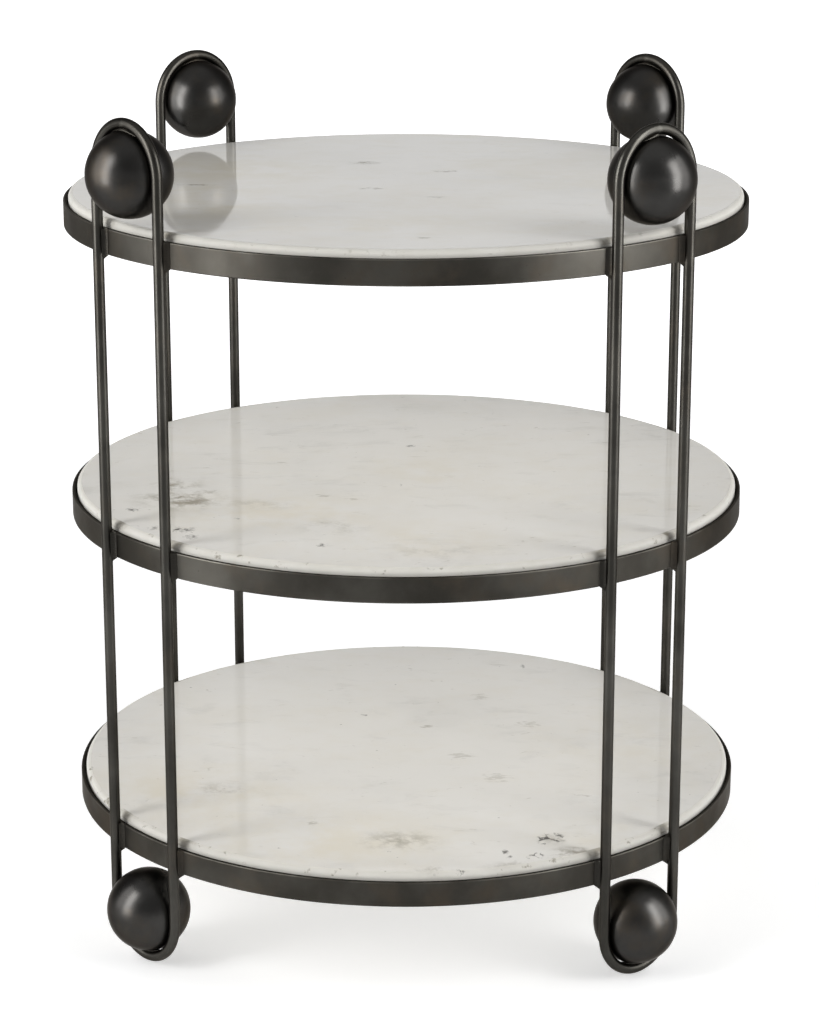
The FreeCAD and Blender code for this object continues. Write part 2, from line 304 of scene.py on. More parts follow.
class SideTableFinish(bpy.types.PropertyGroup):
    """Colours of the stone, the metal and the pads."""

    stone_white: colour("Stone white", "Body of the marble", (0.83, 0.815, 0.78))
    stone_grey: colour("Stone grey", "Soft grey clouds and wisps", (0.58, 0.57, 0.54))
    stone_beige: colour("Stone beige", "Warm clouds", (0.77, 0.725, 0.625))
    stone_brown: colour("Stone brown", "Stains and dashes", (0.28, 0.25, 0.19))
    stone_pit: colour("Stone pit", "Pits and cracks", (0.055, 0.05, 0.042))
    stone_frost: colour("Stone frost", "Ground edge", (0.74, 0.72, 0.66))
    metal_dark: colour("Metal dark", "Blackened metal", (0.0365, 0.034, 0.0293))
    metal_light: colour("Metal light", "Rubbed metal", (0.066, 0.0627, 0.055))
    metal_brown: colour("Metal brown", "Brown bloom on the metal", (0.059, 0.049, 0.038))
    rod_dark: colour("Rod dark", "Blackened metal of the loops", (0.0375, 0.0357, 0.0316))
    rod_light: colour("Rod light", "Rubbed metal of the loops", (0.068, 0.0655, 0.0588))
    rod_brown: colour("Rod brown", "Brown bloom on the loops", (0.060, 0.0525, 0.0435))
    globe_dark: colour("Ball dark", "Blackened metal of the balls", (0.0365, 0.0352, 0.0338))
    globe_light: colour("Ball light", "Rubbed metal of the balls", (0.057, 0.0557, 0.0535))
    weld_dark: colour("Weld dark", "Scale on the beads", (0.028, 0.0265, 0.0235))
    pad_grey: colour("Pad grey", "Soft bumper pads", (0.30, 0.30, 0.29))


class SideTableStage(bpy.types.PropertyGroup):
    """Camera and light of the studio. Wherever brightness is given, 1 is white."""

    camera_turn: angle("Camera turn", "Where the camera stands, from -Y towards +X", 48.64)
    camera_yaw: angle("Camera yaw", "How far the camera looks right of the table's axis", 0.065)
    camera_pitch: angle("Camera pitch", "How far the camera looks down", 16.163)
    camera_distance: length("Camera distance", "From the table's axis, along the floor", 2.2252)
    camera_height: length("Camera height", "Above the floor", 0.9466)
    focal_pixels: amount("Focal length", "In pixels of the photograph", 2950.36)
    left_lamp_turn: angle("Left lamp turn", "Left lamp's bearing from the camera", 58)
    right_lamp_turn: angle("Right lamp turn", "Right lamp's bearing from the camera", 60)
    lamp_distance: length("Lamp distance", "From the table's axis, along the floor", 1.7)
    lamp_height: length("Lamp height", "Middle of a lamp above the floor", 0.9)
    lamp_width: length("Lamp width", "Soft panel, across", 0.6)
    lamp_tall: length("Lamp tallness", "Soft panel, up", 1.8)
    wing_turn: angle("Wing turn", "Side panels' bearing from the camera", 84)
    wing_width: length("Wing width", "Side panel, across", 0.6)
    wing_radiance: amount("Wing radiance", "Side panels in gloss", 2.4)
    left_radiance: amount("Left radiance", "Left panel in gloss", 8.6)
    right_radiance: amount("Right radiance", "Right panel in gloss", 7.3)
    fill_height: length("Fill height", "Middle of a fill lamp above the floor", 1.1)
    fill_tall: length("Fill tallness", "Fill lamp, up", 1.8)
    left_fill: amount("Left fill", "Left lamp on matt surfaces", 4.1)
    right_fill: amount("Right fill", "Right lamp on matt surfaces", 3.3)
    room_light: amount("Room light", "Light from beside the table on matt surfaces", 1.2)
    room_glow: amount("Room glow", "Light from behind the table on matt surfaces", 2.5)
    room_zenith: amount("Room zenith", "Light from overhead, as a share of the sides' light", 0.09)
    room_dusk: amount("Room dusk", "Light from behind the camera on matt surfaces", 0.48)
    room_front: amount("Room front", "Room behind the camera in gloss", 0.64)
    room_side: amount("Room side", "Walls beside the table in gloss", 0.9)
    room_corner: amount("Room corner", "Room between walls and backdrop in gloss", 0.32)
    room_back: amount("Room back", "Backdrop in gloss", 0.6)
    room_upper: amount("Room upper", "Walls higher up in gloss, as a share of lower down", 0.5)
    room_ceiling: amount("Room ceiling", "Ceiling in gloss", 0.64)
    floor_white: amount("Floor white", "How much of the light the floor throws back", 0.9)
    floor_lift: amount("Floor lift", "White added to the near floor for the camera", 0.42)
    backdrop_lift: amount("Backdrop lift", "White added to the far floor for the camera", 0.95)
    floor_sheen: amount("Floor sheen", "White added to the near floor in gloss and glass", 0.34)
    backdrop_sheen: amount("Backdrop sheen", "White added to the far floor in gloss and glass", 0.06)


def outward(points, quads, fans):
    """Turns the faces of a closed surface outwards: its volume, summed over triangles, is then positive."""
    triangles = np.vstack((quads[:, (0, 1, 2)], quads[:, (0, 2, 3)], fans))
    first, second, third = (points[triangles[:, corner]] for corner in range(3))
    if np.einsum("ij,ij->", first, np.cross(second, third)) < 0:
        return points, quads[:, ::-1], fans[:, ::-1]
    return points, quads, fans


def skin(rows, poles=()):
    """Closed surface over a grid of points, shaped (rows, columns, 3), as points, quads and fan triangles.

    Each row is a closed line. Two poles close the ends with fans. Without poles the last row joins the first.
    """
    row_count, column_count, _ = rows.shape
    numbers = np.arange(row_count * column_count).reshape(row_count, column_count)
    if not len(poles):
        numbers = np.vstack((numbers, numbers[:1]))
    numbers = np.hstack((numbers, numbers[:, :1]))
    corners = (numbers[:-1, :-1], numbers[:-1, 1:], numbers[1:, 1:], numbers[1:, :-1])
    quads = np.stack(corners, axis=-1).reshape(-1, 4)
    points = rows.reshape(-1, 3)
    fans = np.empty((0, 3), int)
    if len(poles):
        start, end = (np.full(column_count, len(points) + pole) for pole in range(2))
        near = np.stack((numbers[0, 1:], numbers[0, :-1], start), axis=-1)
        far = np.stack((numbers[-1, :-1], numbers[-1, 1:], end), axis=-1)
        fans = np.vstack((near, far))
        points = np.vstack((points, poles))
    return outward(points, quads, fans)


def make_piece(name, skins, material, body, nodes):
    """One smooth mesh object of one or more closed surfaces, riding on a body in place of CAD nodes."""
    points, faces = [], []
    count = 0
    for part_points, quads, fans in skins:
        faces += (quads + count).tolist() + (fans + count).tolist()
        points.append(part_points)
        count += len(part_points)
    mesh = bpy.data.meshes.new(name)
    mesh.from_pydata(np.vstack(points).tolist(), [], faces, shade_flat=False)
    mesh.materials.append(material)
    piece = bpy.data.objects.new(name, mesh)
    bpy.context.scene.collection.objects.link(piece)
    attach(piece, body)
    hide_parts(*nodes)
    return piece


def mark_points(piece, name, values):
    """Stores a number for each point of a piece's grid, and 0 for its poles, for its material to read."""
    numbers = np.zeros(len(piece.data.vertices), np.float32)
    numbers[:values.size] = values.ravel()
    piece.data.attributes.new(name, "FLOAT", "POINT").data.foreach_set("value", numbers)


def turned(radius, turn, height):
    """Points at a radius, an angle round the table's axis and a height."""
    radius, turn, height = np.broadcast_arrays(radius, turn, height)
    return np.stack((radius * np.cos(turn), radius * np.sin(turn), height), axis=-1)


def swung(away, across, height, turn):
    """Points by distances away from the table's axis and across, and a height, turned round the axis."""
    away, across, height = np.broadcast_arrays(away, across, height)
    x = away * math.cos(turn) - across * math.sin(turn)
    y = away * math.sin(turn) + across * math.cos(turn)
    return np.stack((x, y, height), axis=-1)


def full_turn(steps):
    """Angles of one turn, without its end."""
    return np.linspace(0, 2 * math.pi, steps, endpoint=False)


def waver(turn, waves):
    """Sum of slow cosines round the table, scaled to lie within -1 and 1."""
    count, phase = np.array(waves).T
    return np.cos(np.multiply.outer(turn, count) + phase).mean(axis=-1)


def flat_bar(inner, outer, foot, head, arris):
    """Section of a flat bar as a closed line of (radius, height), and how much of each point is arris.

    Quarter circles at the corners, joined by straight faces with support points.
    """
    centres = np.array(((outer, head), (inner, head), (inner, foot), (outer, foot)))
    inset = np.array(((-1, -1), (1, -1), (1, 1), (-1, 1)))
    sweep = np.linspace(0, math.pi / 2, ARRIS_STEPS + 1)
    line, arris_wear_and_glint = [], []
    for corner in range(4):
        bend = sweep + corner * math.pi / 2
        arc = centres[corner] + arris * (inset[corner] + np.stack((np.cos(bend), np.sin(bend)), axis=-1))
        following = (corner + 1) % 4
        start = centres[following] + arris * (inset[following] + (math.cos(bend[-1]), math.sin(bend[-1])))
        shares = np.array(FACE_SHARES)[:, None]
        line += [arc, arc[-1] + shares * (start - arc[-1])]
        arris_wear_and_glint += [np.ones(len(arc)), np.zeros(len(shares))]
    return np.vstack(line), np.concatenate(arris_wear_and_glint)


def make_ring(tier, sizes, material):
    """Flat bar rolled on edge: its section is carried round the axis, and strays and leans in slow waves."""
    low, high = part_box(tier + "_ring")
    section, arris_wear_and_glint = flat_bar(high.x - sizes.band_thickness, high.x, low.z, high.z, sizes.band_arris)
    turn = full_turn(RING_STEPS)[:, None]
    phase = TIERS.index(tier)
    level = (section[:, 1] - low.z) / (high.z - low.z) - 0.5
    stray = waver(turn + phase, ROLLED_WAVES) + level * waver(3 * turn + phase, ROLLED_WAVES)
    rows = turned(section[:, 0] - sizes.band_waver * (1 + stray), turn, section[:, 1])
    piece = make_piece(tier + "_band", [skin(rows)], material, FRAME_BODY, [tier + "_ring"])
    inside = section[:, 0] < high.x - sizes.band_thickness / 2
    # The outer arrises are lightened, partly as rubbing and partly as a painted highlight along the edge.
    mark_points(piece, "wear_and_glint", np.tile(arris_wear_and_glint * ~inside, RING_STEPS))
    # The inside face is darkened as painted shade, where the gap beside the slab lies in shadow.
    mark_points(piece, "inside_shade", np.tile(RING_INSIDE_SHADE * inside, RING_STEPS))


def side_turn(side):
    """Angle of a loop round the table's axis, from +X."""
    return SIDES.index(side) * 2 * math.pi / len(SIDES)


def upright_turns():
    """Angles of all the uprights round the table's axis."""
    plane, half, _, _, _ = loop_sizes()
    lean = math.atan2(half, plane)
    return np.array([side_turn(side) + way * lean for side in SIDES for way in (-1, 1)])


def turn_between(places, turn):
    """Angle from each of some places to each turn, the short way round, shaped (turns, places)."""
    return np.remainder(turn[:, None] - places + math.pi, 2 * math.pi) - math.pi


def make_slab(tier, sizes, material):
    """Stone disc: a line along its underside, up its side, over a quarter circle and along its top.

    The line is carried round the axis. The quarter circle's radius wavers, and chips are dents in it.
    """
    low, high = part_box(tier + "_slab")
    turn = full_turn(SLAB_STEPS)
    phase = TIERS.index(tier)
    radius = high.x + sizes.slab_fit - sizes.slab_waver * (1 + waver(turn + phase, ROLLED_WAVES)) / 2
    edge = sizes.slab_edge + sizes.slab_waver * waver(turn + phase, GROUND_WAVES)
    foot, wall = low.z + sizes.slab_arris, high.z - edge
    level = np.zeros_like(turn)
    sweep = np.linspace(0, math.pi / 2, SLAB_EDGE_STEPS)[:, None]
    angles, widths, depths = np.array(EDGE_CHIPS[tier]).T
    dents = (depths * np.exp(-(high.x * turn_between(np.radians(angles), turn) / widths) ** 2)).sum(axis=-1)
    rounding = edge - dents * np.sin(2 * sweep)
    lines = [(share * (radius - sizes.slab_arris), level + low.z) for share in BOTTOM_SHARES]
    lines += [(radius - sizes.slab_arris, level + low.z), (radius, level + foot)]
    lines += [(radius, foot + share * (wall - foot)) for share in FACE_SHARES]
    lines += list(zip(radius - edge + rounding * np.cos(sweep), wall + rounding * np.sin(sweep)))
    lines += [(share * (radius - edge), level + high.z) for share in TOP_SHARES]
    rows = turned(np.array([line[0] for line in lines]), turn, np.array([line[1] for line in lines]))
    poles = ((0, 0, low.z), (0, 0, high.z))
    body = tier + "_slab"
    piece = make_piece(tier + "_stone", [skin(rows, poles)], material, body, [tier + "_slab"])
    honed = np.ones(rows.shape[:2])
    honed[:len(BOTTOM_SHARES)] = 0
    honed[-len(TOP_SHARES) - 1:] = 0
    mark_points(piece, "honed", honed)
    rounded = np.zeros(rows.shape[:2])
    rounded[-len(TOP_SHARES) - SLAB_EDGE_STEPS:-len(TOP_SHARES)] = 1
    mark_points(piece, "rounded", rounded)
    # Painted shade: patches on the rounded edge beside each upright stand in for the rods' shadow and
    # reflection.
    upright_shade = np.exp(-(high.x * turn_between(upright_turns(), turn) / sizes.slab_upright_shade) ** 2).sum(axis=-1)
    mark_points(piece, "upright_shaded", rounded * upright_shade)


def loop_sizes():
    """Distance of a loop's plane from the axis, its half spacing, its rod's radius and its bends' heights."""
    low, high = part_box("right_loop")
    rod = (high.x - low.x) / 2
    half = high.y - rod
    return (high.x + low.x) / 2, half, rod, low.z + rod + half, high.z - rod - half


def make_loop(side, sizes, material):
    """Rod carried round a stadium: two uprights joined by half circles, in a plane that touches the rings.

    A butt weld thickens the rod's inner side at the crown, where its ends meet.
    """
    plane, half, rod, lower, upper = loop_sizes()
    climb = np.linspace(0, 1, UPRIGHT_STEPS, endpoint=False)
    bend = np.linspace(0, math.pi, BEND_STEPS, endpoint=False)
    still = np.zeros_like(climb)
    out = np.concatenate((still, bend, still + math.pi, bend + math.pi))
    centre = np.concatenate((lower + climb * (upper - lower), np.full_like(bend, upper),
                             upper + climb * (lower - upper), np.full_like(bend, lower)))
    seam = np.exp(-((bend - math.pi / 2) * half / sizes.seam_width) ** 2)
    crown = np.concatenate((still, seam, still, 0 * bend))
    around = full_turn(ROD_STEPS)
    inner = (1 - np.cos(around)) / 2
    reach = rod + sizes.seam_bulge * np.outer(crown, inner)
    across = np.cos(out)[:, None] * (half + reach * np.cos(around))
    height = centre[:, None] + np.sin(out)[:, None] * (half + reach * np.cos(around))
    away = plane + reach * np.sin(around)
    rows = swung(away, across, height, side_turn(side))
    piece = make_piece(side + "_rod", [skin(rows)], material, FRAME_BODY, [side + "_loop"])
    # The seam at the crown is lightened, partly as ground metal and partly as a painted glint.
    mark_points(piece, "wear_and_glint", np.repeat(SEAM_WEAR_AND_GLINT * crown, ROD_STEPS))


def make_ball(side, level, sizes, material):
    """Ball: a sphere by latitude and longitude, with shallow dents from crossing waves, never proud of it."""
    low, high = (np.array(corner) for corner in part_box(f"{side}_{level}_ball"))
    centre, radius = (low + high) / 2, (high[2] - low[2]) / 2
    tilt = np.linspace(0, math.pi, BALL_RINGS + 2)[1:-1, None]
    turn = full_turn(BALL_STEPS)
    phase = SIDES.index(side) + len(SIDES) * LEVELS.index(level)
    dents = np.sin(5 * np.cos(tilt) * math.pi + phase) * np.sin(tilt) * np.cos(3 * turn + 2 * phase)
    dents = dents + np.sin(tilt) ** 2 * np.cos(7 * turn + phase) * np.cos(4 * tilt + phase)
    reach = radius - sizes.ball_dent * (1 + dents / 2)
    rows = centre + turned(reach * np.sin(tilt), turn, reach * np.cos(tilt))
    poles = centre + np.array(((0, 0, radius), (0, 0, -radius)))
    make_piece(f"{side}_{level}_globe", [skin(rows, poles)], material, FRAME_BODY,
               [f"{side}_{level}_ball"])


def make_studs(level, sizes, material):
    """Studs on the lines from the balls' centres to their loops' crowns: ovals carried along each line.

    In the gap they swell into a tack weld, drawn out along the rod and bowed with it.
    """
    plane, half, rod, lower, upper = loop_sizes()
    crown_height = upper + half if level == "upper" else lower - half
    around = full_turn(STUD_STEPS)[:, None]
    skins = []
    for side in SIDES:
        low, high = (np.array(corner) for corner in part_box(f"{side}_{level}_ball"))
        centre, radius = (low + high) / 2, (high[2] - low[2]) / 2
        turn = side_turn(side)
        line = np.array((plane * math.cos(turn), plane * math.sin(turn), crown_height)) - centre
        span = np.linalg.norm(line)
        line = line / span
        across = np.array((-math.sin(turn), math.cos(turn), 0))
        along = np.linspace(radius - 2 * sizes.stud_radius, span - rod / 2, STUD_STEPS)
        gap = (radius + span - rod) / 2
        swell = np.exp(-((along - gap) / sizes.stud_flare) ** 2)[:, None, None]
        run, shift = TACKS[level, side]
        wide = shift * swell + (sizes.stud_radius + run * swell) * np.cos(around)
        thick = (sizes.stud_radius + sizes.stud_flare * swell) * np.sin(around)
        bow = wide ** 2 / (2 * gap)
        rows = centre + (along[:, None, None] - bow) * line + wide * across + thick * np.cross(line, across)
        skins.append(skin(rows, centre + np.outer(along[[0, -1]], line)))
    make_piece(level + "_tacks", skins, material, FRAME_BODY, [level + "_ball_studs"])


def bead(turn, flank, ring_radius, foot, head, sizes):
    """Weld bead on one flank of an upright: a hollow fillet between ring and rod, carried up the rod.

    Its section is a curve from the ring's face to the rod's flank, closed inside the metal. Towards both ends
    the section shrinks into the rod, and ripples run across it.
    """
    plane, half, rod, _, _ = loop_sizes()
    axis = math.hypot(plane, half)
    reach = rod + sizes.weld_leg
    start = np.array((math.sqrt(ring_radius ** 2 - reach ** 2) - BEAD_SINK / 6, reach))
    end = np.array((axis - rod * math.cos(BEAD_ROD_ANGLE), rod * math.sin(BEAD_ROD_ANGLE)))
    knee = np.array((ring_radius + rod / 4, rod + sizes.weld_leg / 5))
    share = np.linspace(0, 1, BEAD_CURVE_STEPS)[:, None]
    curve = (1 - share) ** 2 * start + 2 * share * (1 - share) * knee + share ** 2 * end
    back = np.array(((axis - rod / 3, rod / 4), (ring_radius - BEAD_SINK, rod / 4),
                     (ring_radius - BEAD_SINK, reach - BEAD_SINK)))
    section = np.vstack((curve, back))
    swell = np.concatenate((np.sin(math.pi * share[:, 0]), np.zeros(len(back))))
    root = np.array((axis - rod / 2, rod / 2))
    height = np.linspace(foot - sizes.weld_tail, head + sizes.weld_head, BEAD_ROWS)
    below = np.clip((foot - height) / sizes.weld_tail, 0, 1)
    above = np.clip((height - head) / sizes.weld_head, 0, 1)
    size = np.clip((1 - below) ** BEAD_TAPER * np.sqrt(1 - above ** 2), BEAD_TIP_SHARE, 1)
    ripple = sizes.weld_ripple * np.outer(np.cos(2 * math.pi * height / sizes.ripple_pitch), swell)
    local = root + size[:, None, None] * (section - root) + ripple[:, :, None]
    rows = swung(local[:, :, 0], flank * local[:, :, 1], height[:, None], turn)
    return skin(rows, (rows[0].mean(axis=0), rows[-1].mean(axis=0)))


def make_welds(tier, sizes, material):
    """Beads on both flanks of every upright at one ring."""
    low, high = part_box(tier + "_ring")
    places = [(turn, flank) for turn in upright_turns() for flank in (-1, 1)]
    skins = [bead(turn, flank, high.x, low.z, high.z, sizes) for turn, flank in places]
    make_piece(tier + "_beads", skins, material, FRAME_BODY, [tier + "_ring_welds"])


class Graph:
    """Nodes of one material or world, added and linked in short form."""

    def __init__(self, owner):
        owner.use_nodes = True
        self.tree = owner.node_tree
        self.tree.nodes.clear()

    def add(self, kind, inputs=None, **settings):
        """A node with its settings, and with its inputs linked or set."""
        node = self.tree.nodes.new(kind)
        for name, value in settings.items():
            setattr(node, name, value)
        for key, value in (inputs or {}).items():
            if isinstance(value, bpy.types.NodeSocket):
                self.tree.links.new(value, node.inputs[key])
            else:
                node.inputs[key].default_value = value
        return node

    def place(self):
        """Object coordinates, in metres."""
        return self.add("ShaderNodeTexCoord").outputs["Object"]

    def moved(self, vector, kind="POINT", **inputs):
        """Coordinates shifted, turned or scaled."""
        return self.add("ShaderNodeMapping", {"Vector": vector, **inputs}, vector_type=kind).outputs[0]

    def noise(self, vector, scale, detail=3, roughness=0.5, distortion=0):
        """Cloudy noise between 0 and 1."""
        inputs = {"Vector": vector, "Scale": scale, "Detail": detail, "Roughness": roughness,
                  "Distortion": distortion}
        return self.add("ShaderNodeTexNoise", inputs).outputs[0]

    def band(self, value, low, high, least=0, most=1):
        """Smooth step of a value from low to high."""
        inputs = {"Value": value, "From Min": low, "From Max": high, "To Min": least, "To Max": most}
        return self.add("ShaderNodeMapRange", inputs, interpolation_type="SMOOTHSTEP").outputs[0]

    def math(self, operation, first, second=0):
        """Arithmetic on one or two values."""
        return self.add("ShaderNodeMath", {0: first, 1: second}, operation=operation).outputs[0]

    def times(self, first, second):
        """Product of two values."""
        return self.math("MULTIPLY", first, second)

    def stored(self, name):
        """Number that a piece's points hold."""
        return self.add("ShaderNodeAttribute", attribute_name=name).outputs["Fac"]

    def mix(self, share, first, second):
        """Colour between two colours, each a socket or three numbers."""
        ends = [tone if isinstance(tone, bpy.types.NodeSocket) else (*tone, 1) for tone in (first, second)]
        return self.add("ShaderNodeMix", {0: share, 6: ends[0], 7: ends[1]}, data_type="RGBA").outputs[2]

    def bump(self, height, strength, distance, invert=False):
        """Normals of a relief."""
        inputs = {"Height": height, "Strength": strength, "Distance": distance}
        return self.add("ShaderNodeBump", inputs, invert=invert).outputs[0]

    def finish(self, inputs):
        """The surface of a piece."""
        shader = self.add("ShaderNodeBsdfPrincipled", inputs).outputs[0]
        self.add("ShaderNodeOutputMaterial", {"Surface": shader})


def shade(tone, share):
    """A colour made darker or lighter."""
    return [share * part for part in tone]


def metal_material(kind, dark, light, bloom, grain=1):
    """Blackened metal, smoothed by rubbing: soft patches, brown bloom, mottling, dark specks, edges lightened
    as rubbing and painted highlight, painted shade inside.
    """
    material = bpy.data.materials.new(kind + "_metal")
    graph = Graph(material)
    place = graph.place()
    patches = graph.noise(place, 15, detail=5, roughness=0.55)
    tone = graph.mix(graph.band(patches, 0.35, 0.7), dark, light)
    blotches = graph.noise(graph.moved(place, Location=(3, 7, 1)), 26, detail=5, roughness=0.6)
    tone = graph.mix(graph.band(blotches, 0.48, 0.75, most=0.75), tone, bloom)
    mottle = graph.noise(place, 190, detail=4, roughness=0.6)
    tone = graph.mix(graph.band(mottle, 0.5, 0.8, most=0.1), tone, light)
    specks = graph.band(graph.noise(place, 300, detail=2), 0.72, 0.8)
    tone = graph.mix(graph.times(specks, 0.4 * grain), tone, shade(dark, 0.5))
    # Arrises and crown seams are lightened: partly rubbing, partly a painted highlight.
    wear_and_glint = graph.stored("wear_and_glint")
    rubbed_and_glint = graph.times(wear_and_glint, graph.band(patches, 0.35, 0.65, most=0.7))
    tone = graph.mix(rubbed_and_glint, tone, shade(light, 2))
    # Painted shade: a ring's hidden inside face is darkened, and made rougher so that it shows no glint.
    shaded_inside = graph.stored("inside_shade")
    tone = graph.mix(shaded_inside, tone, shade(dark, 1 / 3))
    smooth, rough = GLOSS[kind]
    roughness = graph.math("MAXIMUM", graph.band(blotches, 0.32, 0.68, smooth, rough), shaded_inside)
    relief = graph.math("SUBTRACT", graph.times(mottle, 0.4), specks)
    bump = graph.bump(relief, strength=0.01 * grain, distance=0.0002)
    graph.finish({"Base Color": tone, "Metallic": 1, "Roughness": roughness, "Normal": bump,
                  "Specular Tint": (0.55, 0.53, 0.51, 1)})
    return material


def stone_mark(graph, place, height, mark, grains):
    """Share of a mark in the stone: an oval that fades outwards, broken up by the noise of its kind."""
    kind, *sizes, turn, strength = mark
    x, y, half_length, half_width = (size / MILLIMETRES for size in sizes)
    unit = graph.moved(place, "TEXTURE", Location=(x, y, height), Rotation=(0, 0, math.radians(turn)),
                       Scale=(half_length, half_width, half_length))
    reach = graph.add("ShaderNodeVectorMath", {0: unit}, operation="LENGTH").outputs["Value"]
    if kind in ("speck", "smear"):
        return graph.band(graph.math("ADD", reach, grains[kind]), 1.15, 0.45, most=strength)
    if kind == "crack":
        ridge = graph.math("ABSOLUTE", graph.math("SUBTRACT", graph.noise(unit, 0.9, detail=5), 0.5))
        broken = graph.times(graph.band(ridge, 0.05, 0.015, most=strength), grains[kind])
        return graph.times(graph.band(reach, 1, 0.7), broken)
    return graph.times(graph.band(reach, 1.2, 0), graph.times(grains[kind], strength))


def marble_material(tier, finish):
    """Polished marble: pale and warm clouds, drawn-out grey wisps and dashes, and the marks of one slab.

    The ground edge is whiter and less glossy than the polished top.
    """
    material = bpy.data.materials.new(tier + "_marble")
    graph = Graph(material)
    place = graph.place()
    features = STONE_BEDS[tier]
    warm, streaky = features["warmth"], features["streaks"]
    bed = graph.moved(place, Location=features["shift"], Rotation=(0, 0, -math.radians(features["turn"])))
    clouds = graph.noise(bed, 6, detail=5, roughness=0.6)
    tone = graph.mix(graph.band(clouds, 0.45, 0.8, most=0.3), finish.stone_white, finish.stone_grey)
    warmth = graph.noise(graph.moved(bed, Location=(4, 2, 6)), 9, detail=6, roughness=0.62)
    tone = graph.mix(graph.band(warmth, 0.45, 0.75, most=warm), tone, finish.stone_beige)
    speckled = graph.moved(bed, Location=(1, 5, 3), Scale=(34, 48, 40))
    mottle = graph.noise(speckled, 1, detail=4, roughness=0.6)
    tone = graph.mix(graph.band(mottle, 0.48, 0.7, most=warm / 2), tone, finish.stone_beige)
    drawn = graph.noise(graph.moved(bed, Scale=(26, 50, 40)), 1, detail=5, roughness=0.6, distortion=0.5)
    wisps = graph.times(graph.band(drawn, 0.53, 0.75), graph.band(clouds, 0.36, 0.58, least=0.25))
    tone = graph.mix(graph.times(wisps, 0.4 * streaky), tone, finish.stone_grey)
    short = graph.noise(graph.moved(bed, Scale=(60, 115, 90)), 1, detail=4, roughness=0.6, distortion=1.2)
    dashes = graph.times(graph.band(short, 0.63, 0.75), graph.band(drawn, 0.42, 0.58, least=0.1))
    tone = graph.mix(graph.times(dashes, 0.45 * streaky), tone, finish.stone_brown)
    ragged = {"speck": graph.noise(place, 330, detail=4, roughness=0.65),
              "smear": graph.noise(graph.moved(bed, Scale=(130, 260, 200)), 1, detail=4, roughness=0.65)}
    grains = {kind: graph.band(noise, 0.3, 0.7) for kind, noise in ragged.items()}
    grains["stain"] = graph.band(graph.noise(place, 62, detail=6, roughness=0.68), 0.42, 0.66)
    grains["cloud"] = graph.band(graph.noise(place, 24, detail=5, roughness=0.6), 0.32, 0.68)
    grains["crack"] = graph.band(graph.noise(place, 120, detail=3), 0.42, 0.55)
    tones = {"cloud": finish.stone_beige, "stain": finish.stone_brown, "smear": finish.stone_brown}
    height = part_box(tier + "_slab")[1].z
    flaws = graph.band(graph.noise(graph.moved(bed, Scale=(150, 300, 200)), 1, detail=2), 0.755, 0.8)
    honed = graph.stored("honed")
    nicks = graph.band(graph.noise(place, 120, detail=4, roughness=0.6), 0.6, 0.72, most=features["nicks"])
    for mark in STONE_MARKS[tier]:
        share = stone_mark(graph, place, height, mark, grains)
        if mark[0] in tones:
            tone = graph.mix(share, tone, tones[mark[0]])
        else:
            flaws = graph.math("MAXIMUM", flaws, share)
    frost = graph.times(honed, graph.band(graph.noise(place, 70, detail=4), 0.3, 0.7, least=0.6))
    tone = graph.mix(frost, tone, finish.stone_frost)
    rounded = graph.stored("rounded")
    tone = graph.mix(graph.times(rounded, nicks), tone, finish.stone_brown)
    # Painted shade beside the uprights, broken up by noise.
    upright_shaded = graph.stored("upright_shaded")
    shade_breakup = graph.band(graph.noise(place, 210, detail=4), 0.3, 0.65, least=0.3, most=0.8)
    tone = graph.mix(graph.times(upright_shaded, shade_breakup), tone, finish.stone_brown)
    tone = graph.mix(graph.times(flaws, 0.9), tone, finish.stone_pit)
    dull = graph.math("MAXIMUM", flaws, graph.times(dashes, 0.2))
    dull = graph.math("MAXIMUM", dull, graph.times(honed, 0.7))
    roughness = graph.band(dull, 0, 1, least=0.05, most=0.5)
    bump = graph.bump(flaws, strength=0.5, distance=0.0006, invert=True)
    graph.finish({"Base Color": tone, "Roughness": roughness, "Normal": bump, "IOR": 1.5})
    return material


def pad_material(finish):
    """Soft bumper pads: cloudy grey with a faint grain."""
    material = bpy.data.materials.new("bumper")
    graph = Graph(material)
    place = graph.place()
    cloudy = graph.noise(place, 90, detail=4)
    tone = graph.mix(graph.band(cloudy, 0.35, 0.65), finish.pad_grey, shade(finish.pad_grey, 0.7))
    roughness = graph.band(cloudy, 0.3, 0.7, least=0.5, most=0.7)
    bump = graph.bump(graph.noise(place, 900, detail=2), strength=0.2, distance=0.0002)
    graph.finish({"Base Color": tone, "Roughness": roughness, "Normal": bump})
    return material


def looked_at(graph):
    """Two switches: 1 for what the camera sees straight, and 1 for what shows in gloss or glass."""
    path = graph.add("ShaderNodeLightPath").outputs
    mirrored = graph.math("MAXIMUM", path["Is Glossy Ray"], path["Is Transmission Ray"])
    return path["Is Camera Ray"], mirrored


def floor_material(stage):
    """Pale floor: matt, a little uneven, with white added where the camera or gloss and glass show it."""
    material = bpy.data.materials.new("studio_floor")
    graph = Graph(material)
    place = graph.place()
    cloudy = graph.noise(place, 1.2, detail=2)
    pale, duller = stage.floor_white, stage.floor_white - 0.02
    tone = graph.mix(cloudy, (pale, pale, pale), (duller, duller, duller))
    matt = graph.add("ShaderNodeBsdfDiffuse", {"Color": tone}).outputs[0]
    camera, mirrored = looked_at(graph)
    away = graph.add("ShaderNodeVectorMath", {0: place}, operation="LENGTH").outputs["Value"]
    rising = graph.band(away, *LIFT_BAND, stage.floor_lift, stage.backdrop_lift)
    sheen = graph.band(away, *SHEEN_BAND, stage.floor_sheen, stage.backdrop_sheen)
    white = graph.math("ADD", graph.times(camera, rising), graph.times(mirrored, sheen))
    lift = graph.add("ShaderNodeEmission", {"Strength": white}).outputs[0]
    both = graph.add("ShaderNodeAddShader", {0: matt, 1: lift}).outputs[0]
    graph.add("ShaderNodeOutputMaterial", {"Surface": both})
    return material


